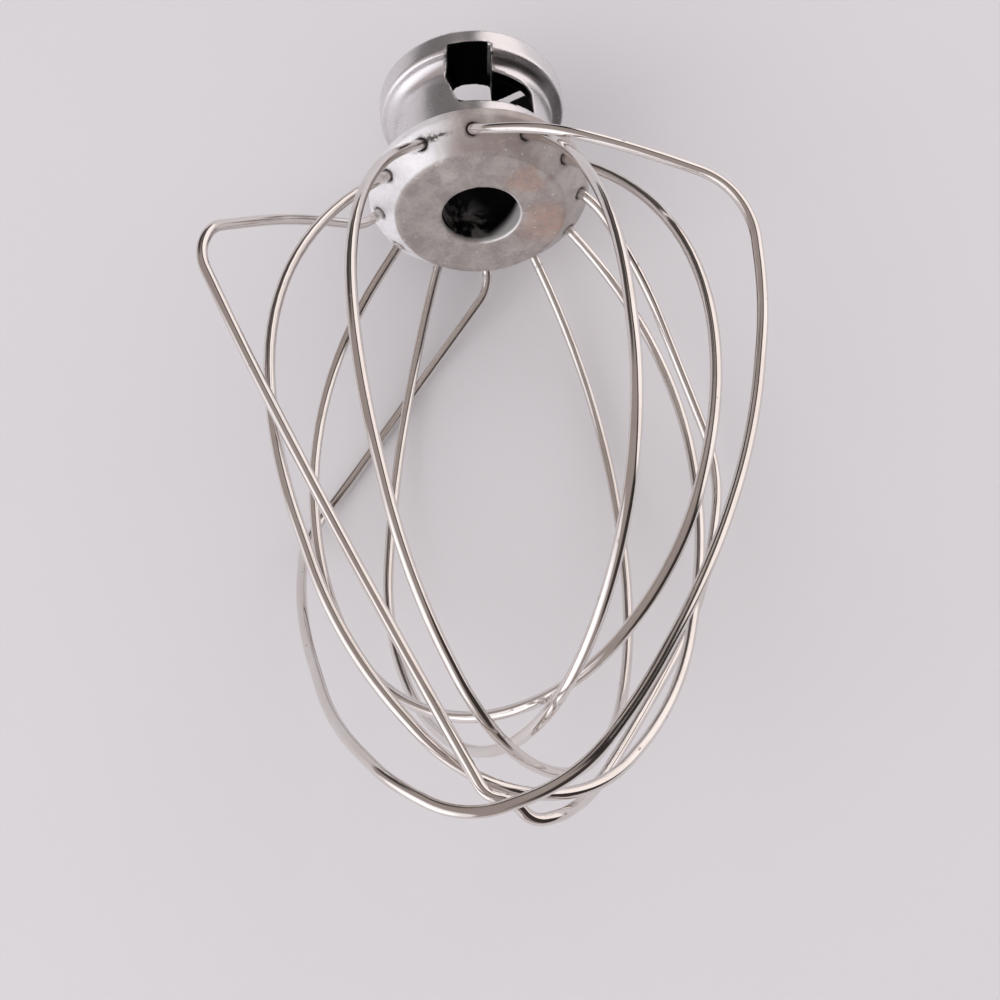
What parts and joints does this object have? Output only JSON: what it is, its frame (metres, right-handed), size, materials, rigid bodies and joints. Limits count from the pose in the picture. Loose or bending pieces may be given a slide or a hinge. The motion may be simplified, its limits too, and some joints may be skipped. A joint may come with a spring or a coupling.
{
  "type": "stand mixer wire whisk",
  "caption": "Wire whisk for a stand mixer: cast hub with a shaft bore, bayonet windows for the drive pin and a bevelled ring that holds bent loops of round wire in a balloon cage.",
  "frame": {"origin": "on the shaft bore's axis, in the plane of the ring of wire holes", "axes": "+Z along the shaft bore, up to the mixer; -Y to the front, where the first wire hole and a bayonet window are; +X to the right seen from the front"},
  "size_m": [0.0967, 0.0815, 0.1584],
  "materials": {
    "cast_aluminium": "stained satin casting",
    "steel_wire": "polished drawn wire"
  },
  "bodies": {
    "root": {"hub": "cast_aluminium", "wire_loop_1": "steel_wire", "wire_loop_2": "steel_wire", "wire_loop_3": "steel_wire", "wire_loop_4": "steel_wire", "wire_loop_5": "steel_wire", "wire_loop_6": "steel_wire"}
  },
  "joints": []
}
